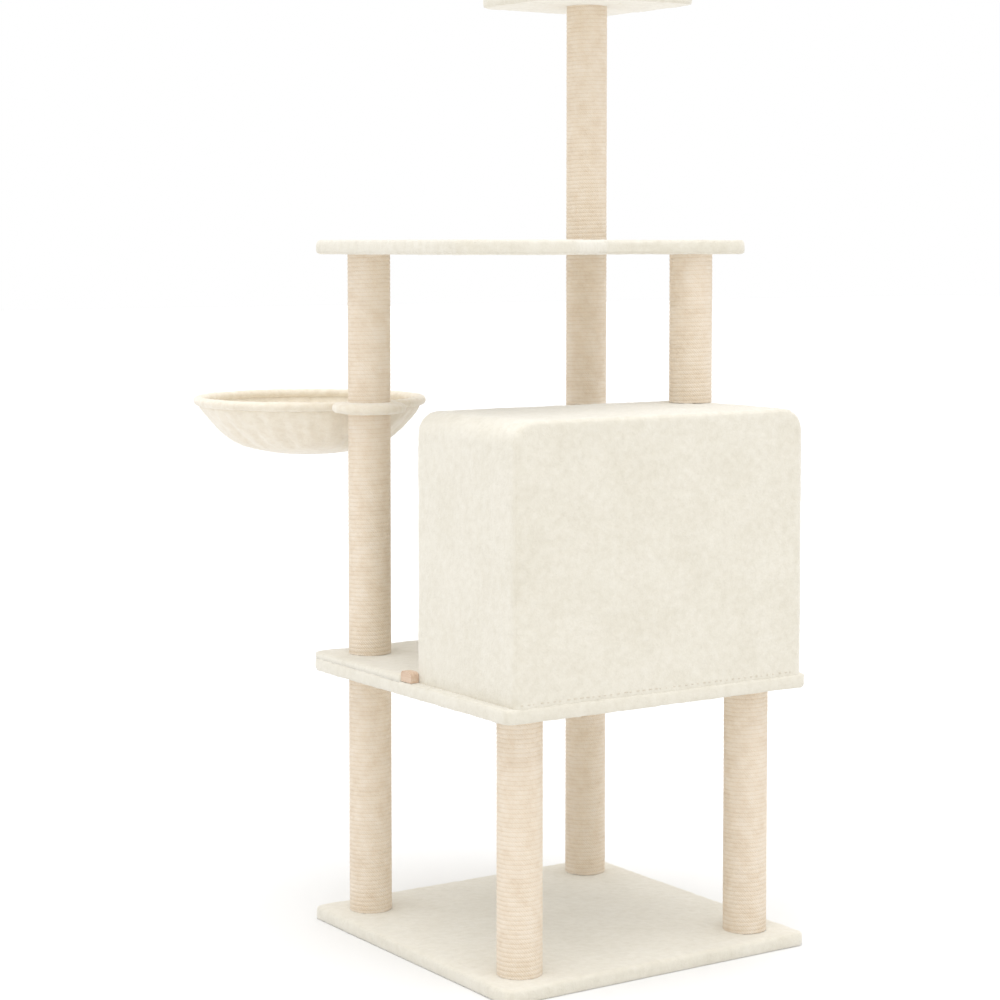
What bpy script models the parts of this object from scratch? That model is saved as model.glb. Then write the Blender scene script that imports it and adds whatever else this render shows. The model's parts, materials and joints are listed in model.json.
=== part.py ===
"""Cat tree: four covered boards on sisal posts, a closed house, and a basket that swivels on one post.

Metres, +Z up. The origin is the centre of the base's underside. The house's closed front wall faces -Y,
and the landing, the house's entrance and the basket are on the +Y side.
"""

import math

import bmesh
import bpy

# Fits
SEAT_GAP = 0.0003           # between two pieces that rest on or line each other
BOLT_CLEARANCE = 0.0005     # round a bolt or a stud in its hole
WIRE_CLEARANCE = 0.001      # round the basket's wire inside its padding

# Posts
POST_D = 0.060              # over the sisal
SISAL_T = 0.005
TUBE_WALL = 0.004
END_DISC_T = 0.018          # glued into each end of a post's tube
POST_INSET = 0.058          # corner posts' axes in from the levels' edges
LONG_POST_H = 0.3365        # lower and middle sections
SHORT_POST_H = 0.2068       # upper sections on the basket and on the house
TOP_POST_H = 0.342

# Boards and their plush
BOARD_T = 0.015
PLUSH_T = 0.0033
LEVEL_SIDE = 0.489          # base, middle level and platform, over the plush
LEVEL_CORNER_R = 0.010
PERCH_SIDE = 0.232
PERCH_CORNER_R = 0.024
LANDING_BOARD_T = 0.005
LANDING_PLUSH_T = 0.0027

# Platform: its front edge sweeps back between two lobes, and is placed from the axis of the house's post
PLATFORM_LEFT_LOBE = 0.0901
PLATFORM_WAIST = 0.0211
PLATFORM_RIGHT_LOBE = 0.0561
PLATFORM_SWEEP_X0 = -0.075
PLATFORM_SWEEP_X1 = 0.025
PLATFORM_SWEEP_X2 = 0.110
PLATFORM_REAR_R = 0.020
PLATFORM_LEFT_R = 0.032
PLATFORM_RIGHT_R = 0.012
PLATFORM_SWEEP_R = 0.055

# House
HOUSE_D = 0.2335
HOUSE_LEFT_SETBACK = 0.0129     # from the middle level's edges
HOUSE_RIGHT_SETBACK = 0.0081
HOUSE_FRONT_SETBACK = 0.001
HOUSE_EDGE_R = 0.030        # the two long top edges, outside
HOUSE_PLUSH_T = 0.003
WRAP_PANEL_T = 0.006
END_PANEL_T = 0.009
ROOF_BOARD_T = 0.012
BATTEN_SIDE = 0.015
ENTRANCE_D = 0.200
ENTRANCE_SILL = 0.050       # lowest point of the entrance above the house's floor
HOUSE_POST_FROM_REAR = 0.0519   # axis of the post on the roof
LANDING_SETBACK = 0.0015    # between the house and the landing

# Corner block at the foot of the house
BLOCK_L = 0.026
BLOCK_H = 0.0145
BLOCK_PAST_HOUSE = 0.020
BLOCK_EDGE_R = 0.006
BLOCK_SETBACK = 0.0005      # from the board's edge

# Basket
HUB_MARGIN = 0.0228         # of the hub past the post, all round
HUB_T = 0.015
RIM_R = 0.1617              # centre line of the rim's wire
RIM_PAST_POST = 0.0066      # from the post's surface to the rim's centre line
RIM_PAD_R = 0.0078
WIRE_R = 0.0035
TONGUE_W = 0.036
TONGUE_T = 0.004
TONGUE_PAST_AXIS = 0.016
BOWL_DEPTH = 0.075          # below the rim's centre line
BOWL_T = 0.0025
BOWL_FULLNESS = 2.3         # exponent of the bowl's superellipse: 2 is an ellipse
BOWL_SLIT = 0.0015          # spare width each side of the cloth, where it leaves the rim's padding
BASKET_YAW = math.radians(-4.8)

# Fasteners
BOLT_R = 0.004
BOLT_HEAD_R = 0.010
BOLT_HEAD_H = 0.004
BOLT_SUNK = 0.001           # base bolts' heads above the floor
COUNTERBORE_R = 0.0125
THREAD_L = 0.015            # of a bolt or a stud in an end disc
BOARD_THREAD_L = 0.011      # of a stud in the underside of a board

# Facets
POST_SIDES = 20
CORE_SIDES = 12
BOLT_SIDES = 8
HOLE_SIDES = 12
HUB_SIDES = 24
ARC_STEPS = 5
ENTRANCE_SIDES = 32
RIM_SEGMENTS = 32
WIRE_SIDES = 6
PAD_ARC_STEPS = 5
BOWL_STEPS = 7

# Levels, from the floor up
COVERED_T = BOARD_T + SEAT_GAP + PLUSH_T
LANDING_T = LANDING_BOARD_T + SEAT_GAP + LANDING_PLUSH_T
LOWER_POST_Z = COVERED_T + SEAT_GAP
MIDDLE_Z = LOWER_POST_Z + LONG_POST_H + SEAT_GAP
MIDDLE_TOP_Z = MIDDLE_Z + COVERED_T
LANDING_Z = MIDDLE_TOP_Z + SEAT_GAP
LANDING_TOP_Z = LANDING_Z + LANDING_T
MIDDLE_POST_Z = LANDING_TOP_Z + SEAT_GAP
HUB_Z = MIDDLE_POST_Z + LONG_POST_H + SEAT_GAP
SHORT_POST_Z = HUB_Z + HUB_T + SEAT_GAP
PLATFORM_Z = SHORT_POST_Z + SHORT_POST_H + SEAT_GAP
PLATFORM_TOP_Z = PLATFORM_Z + COVERED_T
TOP_POST_Z = PLATFORM_TOP_Z + SEAT_GAP
PERCH_Z = TOP_POST_Z + TOP_POST_H + SEAT_GAP
REAR_UPPER_POST_Z = MIDDLE_POST_Z + LONG_POST_H + SEAT_GAP
REAR_UPPER_POST_H = PLATFORM_Z - SEAT_GAP - REAR_UPPER_POST_Z

# Plan
EDGE = LEVEL_SIDE / 2
HALF = EDGE - POST_INSET
CORNERS = {
    "front_left": (-HALF, -HALF),
    "front_right": (HALF, -HALF),
    "rear_left": (-HALF, HALF),
    "rear_right": (HALF, HALF),
}
HOUSE_LEFT = HOUSE_LEFT_SETBACK - EDGE
HOUSE_RIGHT = EDGE - HOUSE_RIGHT_SETBACK
HOUSE_FRONT = HOUSE_FRONT_SETBACK - EDGE
HOUSE_REAR = HOUSE_FRONT + HOUSE_D
HOUSE_POST = (HALF, HOUSE_REAR - HOUSE_POST_FROM_REAR)
HOUSE_Z = MIDDLE_TOP_Z + SEAT_GAP
HOUSE_TOP_Z = SHORT_POST_Z - SEAT_GAP
HOUSE_H = HOUSE_TOP_Z - HOUSE_Z
RIM_TO_POST_AXIS = POST_D / 2 + RIM_PAST_POST
HUB_R = POST_D / 2 + HUB_MARGIN
HOLE_R = BOLT_R + BOLT_CLEARANCE
TUBE_R = POST_D / 2 - SISAL_T - SEAT_GAP


def clear_scene():
    for obj in list(bpy.data.objects):
        bpy.data.objects.remove(obj, do_unlink=True)


def make_material(name, colour, roughness, metallic=0.0):
    mat = bpy.data.materials.new(name)
    mat.use_nodes = True
    shader = mat.node_tree.nodes["Principled BSDF"]
    shader.inputs["Base Color"].default_value = (*colour, 1.0)
    shader.inputs["Roughness"].default_value = roughness
    shader.inputs["Metallic"].default_value = metallic
    mat.diffuse_color = (*colour, 1.0)
    return mat


FINISHES = {
    "plush": ((0.84, 0.80, 0.70), 0.95),
    "sisal": ((0.72, 0.60, 0.42), 0.9),
    "chipboard": ((0.55, 0.42, 0.28), 0.8),
    "hardboard": ((0.42, 0.29, 0.18), 0.75),
    "paper": ((0.60, 0.50, 0.38), 0.85),
    "steel": ((0.62, 0.62, 0.64), 0.35, 1.0),
    "pine": ((0.66, 0.50, 0.32), 0.7),
    "basket_plush": ((0.80, 0.72, 0.58), 0.95),
}


# Shapes

def as_object(name, bm, finish, location=(0.0, 0.0, 0.0), smooth=False):
    """Turns a bmesh into a named object with its own material."""
    bmesh.ops.recalc_face_normals(bm, faces=bm.faces)
    mesh = bpy.data.meshes.new(name)
    bm.to_mesh(mesh)
    bm.free()
    if smooth:
        mesh.shade_smooth()
        mesh.set_sharp_from_angle(angle=math.radians(40))
    obj = bpy.data.objects.new(name, mesh)
    obj.location = location
    obj.data.materials.append(make_material(name, *FINISHES[finish]))
    bpy.context.collection.objects.link(obj)
    return obj


def turned(profile, sides):
    """A closed (radius, height) profile turned about Z. Points with radius 0 lie on the axis."""
    bm = bmesh.new()
    rings = []
    for radius, height in profile:
        if radius == 0.0:
            rings.append([bm.verts.new((0.0, 0.0, height))])
            continue
        ring = []
        for i in range(sides):
            angle = 2 * math.pi * i / sides
            ring.append(bm.verts.new((radius * math.cos(angle), radius * math.sin(angle), height)))
        rings.append(ring)
    for low, high in zip(rings, rings[1:] + rings[:1]):
        join_rings(bm, low, high, sides)
    return bm


def join_rings(bm, low, high, sides):
    for i in range(sides):
        j = (i + 1) % sides
        corners = []
        for vert in (low[i % len(low)], low[j % len(low)], high[j % len(high)], high[i % len(high)]):
            if vert not in corners:
                corners.append(vert)
        if len(corners) > 2:
            bm.faces.new(corners)


def prism(outline, low, high, along="Z"):
    """An outline extruded from low to high: (x, y) along Z, (x, z) along Y or (y, z) along X."""
    place = {
        "X": lambda a, b, h: (h, a, b),
        "Y": lambda a, b, h: (a, h, b),
        "Z": lambda a, b, h: (a, b, h),
    }[along]
    bm = bmesh.new()
    bottom = [bm.verts.new(place(a, b, low)) for a, b in outline]
    top = [bm.verts.new(place(a, b, high)) for a, b in outline]
    bm.faces.new(bottom)
    bm.faces.new(top)
    join_rings(bm, bottom, top, len(outline))
    return bm


def rounded(corners):
    """An outline from (x, y, radius) corners, each replaced by an arc."""
    points = []
    for i, (x, y, radius) in enumerate(corners):
        before = corners[i - 1]
        after = corners[(i + 1) % len(corners)]
        if radius == 0.0:
            points.append((x, y))
            continue
        points.extend(corner_arc((x, y), before, after, radius))
    return points


def corner_arc(corner, before, after, radius):
    """The arc of the given radius that touches both edges at a corner."""
    in_x, in_y = unit(before[0] - corner[0], before[1] - corner[1])
    out_x, out_y = unit(after[0] - corner[0], after[1] - corner[1])
    half_angle = math.acos(in_x * out_x + in_y * out_y) / 2
    mid_x, mid_y = unit(in_x + out_x, in_y + out_y)
    reach = radius / math.sin(half_angle)
    centre_x = corner[0] + mid_x * reach
    centre_y = corner[1] + mid_y * reach
    run = radius / math.tan(half_angle)
    start = math.atan2(corner[1] + in_y * run - centre_y, corner[0] + in_x * run - centre_x)
    end = math.atan2(corner[1] + out_y * run - centre_y, corner[0] + out_x * run - centre_x)
    turn = (end - start + math.pi) % (2 * math.pi) - math.pi
    arc = []
    for step in range(ARC_STEPS + 1):
        angle = start + turn * step / ARC_STEPS
        arc.append((centre_x + radius * math.cos(angle), centre_y + radius * math.sin(angle)))
    return arc


def unit(x, y):
    length = math.hypot(x, y)
    return x / length, y / length


def inset(outline, distance):
    """An anticlockwise outline moved inwards by a distance, with mitred corners."""
    moved = []
    count = len(outline)
    for i, (x, y) in enumerate(outline):
        x0, y0 = outline[i - 1]
        x1, y1 = outline[(i + 1) % count]
        in_x, in_y = unit(x - x0, y - y0)
        out_x, out_y = unit(x1 - x, y1 - y)
        normal_x, normal_y = unit(-in_y - out_y, in_x + out_x)
        mitre = distance / (normal_x * -in_y + normal_y * in_x)
        moved.append((x + normal_x * mitre, y + normal_y * mitre))
    return moved


def square(side, radius, centre=(0.0, 0.0)):
    half = side / 2
    x, y = centre
    return rounded([
        (x - half, y - half, radius),
        (x + half, y - half, radius),
        (x + half, y + half, radius),
        (x - half, y + half, radius),
    ])


def cylinder(x, y, low, high, radius, sides=HOLE_SIDES):
    bm = turned([(0.0, low), (radius, low), (radius, high), (0.0, high)], sides)
    bmesh.ops.translate(bm, vec=(x, y, 0.0), verts=bm.verts)
    return bm


# Cutting

def cut(obj, name, *tools):
    """Cuts one or more shapes, kept as one hidden cutter, out of an object."""
    joined = bmesh.new()
    for tool in tools:
        mesh = bpy.data.meshes.new(name)
        bmesh.ops.recalc_face_normals(tool, faces=tool.faces)
        tool.to_mesh(mesh)
        tool.free()
        joined.from_mesh(mesh)
        bpy.data.meshes.remove(mesh)
    cutter_mesh = bpy.data.meshes.new(name)
    joined.to_mesh(cutter_mesh)
    joined.free()
    cutter = bpy.data.objects.new(name, cutter_mesh)
    cutter.hide_render = True
    cutter.display_type = "WIRE"
    cutter.parent = obj.parent
    bpy.context.collection.objects.link(cutter)
    modifier = obj.modifiers.new(name, "BOOLEAN")
    modifier.operation = "DIFFERENCE"
    modifier.solver = "EXACT"
    modifier.object = cutter


# Posts

def make_post(name, centre, z, height):
    """One post section: a paper tube with a drilled disc glued into each end, and the sisal round it."""
    bore_r = TUBE_R - TUBE_WALL
    core = turned([
        (HOLE_R, 0.0),
        (TUBE_R, 0.0),
        (TUBE_R, height),
        (HOLE_R, height),
        (HOLE_R, height - END_DISC_T),
        (bore_r, height - END_DISC_T),
        (bore_r, END_DISC_T),
        (HOLE_R, END_DISC_T),
    ], CORE_SIDES)
    as_object(f"{name}_core", core, "paper", (*centre, z), smooth=True)
    # The sleeve's flats lie clear outside the tube's corners.
    inner_r = (TUBE_R + SEAT_GAP) / math.cos(math.pi / POST_SIDES)
    sisal = turned([(inner_r, 0.0), (POST_D / 2, 0.0), (POST_D / 2, height), (inner_r, height)], POST_SIDES)
    as_object(f"{name}_sisal", sisal, "sisal", (*centre, z), smooth=True)


def make_posts():
    for corner, centre in CORNERS.items():
        make_post(f"lower_post_{corner}", centre, LOWER_POST_Z, LONG_POST_H)
    for corner in ("rear_left", "rear_right"):
        make_post(f"middle_post_{corner}", CORNERS[corner], MIDDLE_POST_Z, LONG_POST_H)
    make_post("upper_post_rear_left", CORNERS["rear_left"], SHORT_POST_Z, SHORT_POST_H)
    make_post("upper_post_rear_right", CORNERS["rear_right"], REAR_UPPER_POST_Z, REAR_UPPER_POST_H)
    make_post("upper_post_house", HOUSE_POST, SHORT_POST_Z, SHORT_POST_H)
    make_post("top_post", CORNERS["rear_right"], TOP_POST_Z, TOP_POST_H)


# Boards

def through_hole(centre, low, high):
    return cylinder(*centre, low - BOARD_T, high + BOARD_T, HOLE_R)


def stud_hole(centre, z):
    """A blind hole in the underside of a board at height z."""
    return cylinder(*centre, z - BOARD_T, z + BOARD_THREAD_L + SEAT_GAP, HOLE_R)


def counterbored_hole(centre):
    shoulder = BOLT_SUNK + BOLT_HEAD_H + SEAT_GAP
    bm = turned([
        (0.0, -BOARD_T),
        (COUNTERBORE_R, -BOARD_T),
        (COUNTERBORE_R, shoulder),
        (HOLE_R, shoulder),
        (HOLE_R, 2 * BOARD_T),
        (0.0, 2 * BOARD_T),
    ], HOLE_SIDES)
    bmesh.ops.translate(bm, vec=(*centre, 0.0), verts=bm.verts)
    return bm


def make_covered_board(name, outline, z, board_t, plush_t, board_holes, plush_holes, board_finish):
    """A board and the plush over its top and edges. The outline is the plush's outer one."""
    board = as_object(f"{name}_board", prism(inset(outline, plush_t + SEAT_GAP), z, z + board_t), board_finish)
    cut(board, f"{name}_board_holes", *board_holes)
    top = z + board_t + SEAT_GAP + plush_t
    plush = as_object(f"{name}_plush", prism(outline, z, top), "plush")
    hollow = prism(inset(outline, plush_t), z - board_t, z + board_t + SEAT_GAP)
    cut(plush, f"{name}_plush_hollow", hollow)
    if plush_holes:
        cut(plush, f"{name}_plush_holes", *plush_holes)


def make_base():
    holes = [counterbored_hole(centre) for centre in CORNERS.values()]
    plush_holes = [through_hole(centre, 0.0, COVERED_T) for centre in CORNERS.values()]
    outline = square(LEVEL_SIDE, LEVEL_CORNER_R)
    make_covered_board("base", outline, 0.0, BOARD_T, PLUSH_T, holes, plush_holes, "chipboard")


def make_middle():
    holes = [through_hole(centre, MIDDLE_Z, MIDDLE_TOP_Z) for centre in CORNERS.values()]
    plush_holes = [through_hole(centre, MIDDLE_Z, MIDDLE_TOP_Z) for centre in CORNERS.values()]
    outline = square(LEVEL_SIDE, LEVEL_CORNER_R)
    make_covered_board("middle", outline, MIDDLE_Z, BOARD_T, PLUSH_T, holes, plush_holes, "chipboard")


def landing_outline():
    """The landing fills the level behind the house and steps round the corner block."""
    front = HOUSE_REAR + LANDING_SETBACK
    block_rear = HOUSE_REAR + BLOCK_PAST_HOUSE + SEAT_GAP
    return rounded([
        (HOUSE_LEFT, front, 0.0),
        (EDGE, front, 0.0),
        (EDGE, EDGE, LEVEL_CORNER_R),
        (-EDGE, EDGE, LEVEL_CORNER_R),
        (-EDGE, block_rear, 0.0),
        (HOUSE_LEFT, block_rear, 0.0),
    ])


def make_landing():
    rear = (CORNERS["rear_left"], CORNERS["rear_right"])
    holes = [through_hole(centre, LANDING_Z, LANDING_TOP_Z) for centre in rear]
    plush_holes = [through_hole(centre, LANDING_Z, LANDING_TOP_Z) for centre in rear]
    make_covered_board(
        "landing", landing_outline(), LANDING_Z, LANDING_BOARD_T, LANDING_PLUSH_T, holes, plush_holes, "hardboard"
    )


def platform_outline():
    post_y = HOUSE_POST[1]
    left_y = post_y - PLATFORM_LEFT_LOBE
    waist_y = post_y - PLATFORM_WAIST
    right_y = post_y - PLATFORM_RIGHT_LOBE
    return rounded([
        (-EDGE, left_y, PLATFORM_LEFT_R),
        (PLATFORM_SWEEP_X0, left_y, PLATFORM_SWEEP_R),
        (PLATFORM_SWEEP_X1, waist_y, PLATFORM_SWEEP_R),
        (PLATFORM_SWEEP_X2, waist_y, PLATFORM_SWEEP_R),
        (EDGE, right_y, PLATFORM_RIGHT_R),
        (EDGE, EDGE, PLATFORM_REAR_R),
        (-EDGE, EDGE, PLATFORM_REAR_R),
    ])


def make_platform():
    passing = CORNERS["rear_right"]
    holes = [
        stud_hole(CORNERS["rear_left"], PLATFORM_Z),
        stud_hole(HOUSE_POST, PLATFORM_Z),
        through_hole(passing, PLATFORM_Z, PLATFORM_TOP_Z),
    ]
    plush_holes = [through_hole(passing, PLATFORM_Z, PLATFORM_TOP_Z)]
    make_covered_board(
        "platform", platform_outline(), PLATFORM_Z, BOARD_T, PLUSH_T, holes, plush_holes, "chipboard"
    )


def make_perch():
    centre = CORNERS["rear_right"]
    outline = square(PERCH_SIDE, PERCH_CORNER_R, centre)
    holes = [stud_hole(centre, PERCH_Z)]
    make_covered_board("perch", outline, PERCH_Z, BOARD_T, PLUSH_T, holes, [], "chipboard")


# House

def arch(depth):
    """Left foot, rounded top and right foot of the house's section, a given depth inside its outer skin."""
    left = HOUSE_LEFT + depth
    right = HOUSE_RIGHT - depth
    top = HOUSE_TOP_Z - depth
    radius = HOUSE_EDGE_R - depth
    line = [(left, HOUSE_Z)]
    line.extend(corner_arc((left, top), (left, HOUSE_Z), (right, top), radius))
    line.extend(corner_arc((right, top), (left, top), (right, HOUSE_Z), radius))
    line.append((right, HOUSE_Z))
    return line


def make_wrap(name, depth, thickness, finish):
    """The left wall, roof and right wall in one bent sheet."""
    section = arch(depth) + arch(depth + thickness)[::-1]
    front = HOUSE_FRONT + HOUSE_PLUSH_T + SEAT_GAP
    rear = HOUSE_REAR - HOUSE_PLUSH_T - SEAT_GAP
    wrap = as_object(name, prism(section, front, rear, along="Y"), finish)
    cut(wrap, f"{name}_hole", through_hole(HOUSE_POST, HOUSE_TOP_Z - HOUSE_EDGE_R, HOUSE_TOP_Z))


def entrance_cutter():
    """A round hole through the rear wall."""
    radius = ENTRANCE_D / 2
    centre_x = (HOUSE_LEFT + HOUSE_RIGHT) / 2
    centre_z = HOUSE_Z + ENTRANCE_SILL + radius
    ring = []
    for i in range(ENTRANCE_SIDES):
        angle = 2 * math.pi * i / ENTRANCE_SIDES
        ring.append((centre_x + radius * math.cos(angle), centre_z + radius * math.sin(angle)))
    return prism(ring, HOUSE_REAR - 3 * END_PANEL_T, HOUSE_REAR + END_PANEL_T, along="Y")


def make_house():
    panel_depth = HOUSE_PLUSH_T + SEAT_GAP
    inner_depth = panel_depth + WRAP_PANEL_T + SEAT_GAP
    make_wrap("house_wrap_plush", 0.0, HOUSE_PLUSH_T, "plush")
    make_wrap("house_wrap_panel", panel_depth, WRAP_PANEL_T, "hardboard")

    front_skin = HOUSE_FRONT + HOUSE_PLUSH_T
    rear_skin = HOUSE_REAR - HOUSE_PLUSH_T
    front_in = front_skin + SEAT_GAP + END_PANEL_T
    rear_in = rear_skin - SEAT_GAP - END_PANEL_T
    as_object("house_front_plush", prism(arch(0.0), HOUSE_FRONT, front_skin, along="Y"), "plush")
    as_object(
        "house_front_panel", prism(arch(inner_depth), front_skin + SEAT_GAP, front_in, along="Y"), "hardboard"
    )
    rear_plush = as_object("house_rear_plush", prism(arch(0.0), rear_skin, HOUSE_REAR, along="Y"), "plush")
    rear_panel = as_object(
        "house_rear_panel", prism(arch(inner_depth), rear_in, rear_skin - SEAT_GAP, along="Y"), "hardboard"
    )
    cut(rear_plush, "rear_plush_entrance", entrance_cutter())
    cut(rear_panel, "rear_panel_entrance", entrance_cutter())
    make_roof_board(inner_depth, front_in + SEAT_GAP, rear_in - SEAT_GAP)
    make_battens(inner_depth, front_in + SEAT_GAP, rear_in - SEAT_GAP)


def make_roof_board(inner_depth, front, rear):
    """A stiff board under the roof, between its rounded edges. It carries the post on the house."""
    margin = HOUSE_EDGE_R + SEAT_GAP
    left = HOUSE_LEFT + margin
    right = HOUSE_RIGHT - margin
    outline = [(left, front), (right, front), (right, rear), (left, rear)]
    top = HOUSE_TOP_Z - inner_depth
    board = as_object("house_roof_board", prism(outline, top - ROOF_BOARD_T, top), "chipboard")
    cut(board, "roof_board_hole", through_hole(HOUSE_POST, top - ROOF_BOARD_T, top))


def make_battens(inner_depth, front, rear):
    """Two strips along the feet of the side walls."""
    left = HOUSE_LEFT + inner_depth
    right = HOUSE_RIGHT - inner_depth
    for side, x in (("left", left), ("right", right - BATTEN_SIDE)):
        outline = [(x, front), (x + BATTEN_SIDE, front), (x + BATTEN_SIDE, rear), (x, rear)]
        as_object(f"house_batten_{side}", prism(outline, HOUSE_Z, HOUSE_Z + BATTEN_SIDE), "pine")


def make_corner_block():
    """A small rounded block beside the foot of the house's rear left corner."""
    rear = HOUSE_REAR + BLOCK_PAST_HOUSE
    front = rear - BLOCK_L
    top = HOUSE_Z + BLOCK_H
    outline = rounded([
        (front, HOUSE_Z, 0.0),
        (rear, HOUSE_Z, 0.0),
        (rear, top, BLOCK_EDGE_R),
        (front, top, BLOCK_EDGE_R),
    ])
    outer = BLOCK_SETBACK - EDGE
    as_object("corner_block", prism(outline, outer, HOUSE_LEFT - SEAT_GAP, along="X"), "pine")


# Basket, built round its own axis: the post's axis is at the origin and the bowl lies along +Y

BOWL_Y = RIM_TO_POST_AXIS + RIM_R


def at_bowl(bm):
    bmesh.ops.translate(bm, vec=(0.0, BOWL_Y, 0.0), verts=bm.verts)
    return bm


def ring_of(radius, tube_r, segments, sides):
    """A torus about Z."""
    profile = []
    for i in range(sides):
        angle = 2 * math.pi * i / sides
        profile.append((radius + tube_r * math.cos(angle), tube_r * math.sin(angle)))
    return turned(profile, segments)


def box(x0, x1, y0, y1, z0, z1):
    return prism([(x0, y0), (x1, y0), (x1, y1), (x0, y1)], z0, z1)


def make_basket():
    pivot = bpy.data.objects.new("basket_pivot", None)
    pivot.location = (*CORNERS["rear_left"], HUB_Z + HUB_T / 2)
    pivot.rotation_euler = (0.0, 0.0, BASKET_YAW)
    bpy.context.collection.objects.link(pivot)
    make_hub(pivot)
    make_frame(pivot)
    make_rim_pad(pivot)
    make_bowl(pivot)


def make_hub(pivot):
    """The padded disc clamped between two post sections, slotted for the frame's tongue."""
    half_t = HUB_T / 2
    disc = turned([(0.0, -half_t), (HUB_R, -half_t), (HUB_R, half_t), (0.0, half_t)], HUB_SIDES)
    hub = as_object("basket_hub", disc, "basket_plush", smooth=True)
    hub.parent = pivot
    # The cutter's flats lie clear outside the padding.
    pad_r = (RIM_PAD_R + SEAT_GAP) / math.cos(math.pi / (2 * PAD_ARC_STEPS))
    inside = [(0.0, -pad_r)]
    for i in range(PAD_ARC_STEPS + 1):
        angle = math.pi * (i / PAD_ARC_STEPS - 0.5)
        inside.append((RIM_R + pad_r * math.cos(angle), pad_r * math.sin(angle)))
    inside.append((0.0, pad_r))
    cut(hub, "hub_side_of_bowl", at_bowl(turned(inside, RIM_SEGMENTS)))
    slot_x = TONGUE_W / 2 + SEAT_GAP
    slot_z = TONGUE_T / 2 + SEAT_GAP
    slot = box(-slot_x, slot_x, -TONGUE_PAST_AXIS - SEAT_GAP, 2 * HUB_R, -slot_z, slot_z)
    cut(hub, "hub_slot", slot)
    cut(hub, "hub_hole", cylinder(0.0, 0.0, -HUB_T, HUB_T, HOLE_R))


def make_frame(pivot):
    """The rim's steel wire with a flat tongue welded to it, drilled for the stud."""
    frame = as_object("basket_frame", at_bowl(ring_of(RIM_R, WIRE_R, RIM_SEGMENTS, WIRE_SIDES)), "steel")
    frame.parent = pivot
    half_t = TONGUE_T / 2
    half_w = TONGUE_W / 2
    bm = box(-half_w, half_w, -TONGUE_PAST_AXIS, RIM_TO_POST_AXIS + WIRE_R / 2, -half_t, half_t)
    tongue = as_object("frame_tongue", bm, "steel")
    tongue.hide_render = True
    tongue.display_type = "WIRE"
    tongue.parent = pivot
    weld = frame.modifiers.new("weld", "BOOLEAN")
    weld.operation = "UNION"
    weld.solver = "EXACT"
    weld.object = tongue
    cut(frame, "tongue_hole", cylinder(0.0, 0.0, -HUB_T, HUB_T, HOLE_R))


def make_rim_pad(pivot):
    """Padding round the rim's wire, slit underneath for the cloth and open where the tongue passes."""
    inner_r = WIRE_R + WIRE_CLEARANCE
    slit = BOWL_T / 2 + BOWL_SLIT
    profile = []
    for radius, forwards in ((RIM_PAD_R, True), (inner_r, False)):
        edge = math.asin(slit / radius)
        arc = []
        for i in range(2 * PAD_ARC_STEPS + 1):
            angle = edge - math.pi / 2 + (2 * math.pi - 2 * edge) * i / (2 * PAD_ARC_STEPS)
            arc.append((RIM_R + radius * math.cos(angle), radius * math.sin(angle)))
        profile.extend(arc if forwards else arc[::-1])
    pad = as_object("basket_rim_pad", at_bowl(turned(profile, RIM_SEGMENTS)), "basket_plush", smooth=True)
    pad.parent = pivot
    gap_x = TONGUE_W / 2 + SEAT_GAP
    gap_z = TONGUE_T / 2 + SEAT_GAP
    passage = box(-gap_x, gap_x, -HUB_R, RIM_TO_POST_AXIS, -gap_z, gap_z)
    cut(pad, "pad_passage", passage)


def bowl_point(t):
    """A point of the cloth's middle surface: t is 0 at the rim and pi/2 at the bottom."""
    power = 2 / BOWL_FULLNESS
    radius = RIM_R * max(math.cos(t), 0.0) ** power
    return radius, -BOWL_DEPTH * math.sin(t) ** power


def make_bowl(pivot):
    """The hanging cloth, a dished shell of even thickness."""
    top_depth = WIRE_R + WIRE_CLEARANCE
    start = math.asin((top_depth / BOWL_DEPTH) ** (BOWL_FULLNESS / 2))
    middle = [bowl_point(start + (math.pi / 2 - start) * i / BOWL_STEPS) for i in range(BOWL_STEPS + 1)]
    middle[-1] = (0.0, -BOWL_DEPTH)
    outside = []
    inside = []
    for i, (radius, height) in enumerate(middle[:-1]):
        before = middle[max(i - 1, 0)]
        after = middle[i + 1]
        along_r, along_z = unit(after[0] - before[0], after[1] - before[1])
        outside.append((radius - along_z * BOWL_T / 2, height + along_r * BOWL_T / 2))
        inside.append((radius + along_z * BOWL_T / 2, height - along_r * BOWL_T / 2))
    outside.append((0.0, -BOWL_DEPTH - BOWL_T / 2))
    inside.append((0.0, -BOWL_DEPTH + BOWL_T / 2))
    bowl = as_object("basket_bowl", at_bowl(turned(outside + inside[::-1], RIM_SEGMENTS)), "basket_plush", smooth=True)
    bowl.parent = pivot


# Fasteners

def make_stud(name, centre, low, high):
    stud = turned([(0.0, 0.0), (BOLT_R, 0.0), (BOLT_R, high - low), (0.0, high - low)], BOLT_SIDES)
    as_object(name, stud, "steel", (*centre, low), smooth=True)


def make_bolt(name, centre, seat, length):
    """A flanged bolt: its head seats at a height, and its shank goes up, or down if length is negative."""
    head = -BOLT_HEAD_H if length > 0 else BOLT_HEAD_H
    bolt = turned([
        (0.0, head),
        (BOLT_HEAD_R, head),
        (BOLT_HEAD_R, 0.0),
        (BOLT_R, 0.0),
        (BOLT_R, length),
        (0.0, length),
    ], BOLT_SIDES)
    as_object(name, bolt, "steel", (*centre, seat), smooth=True)


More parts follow.
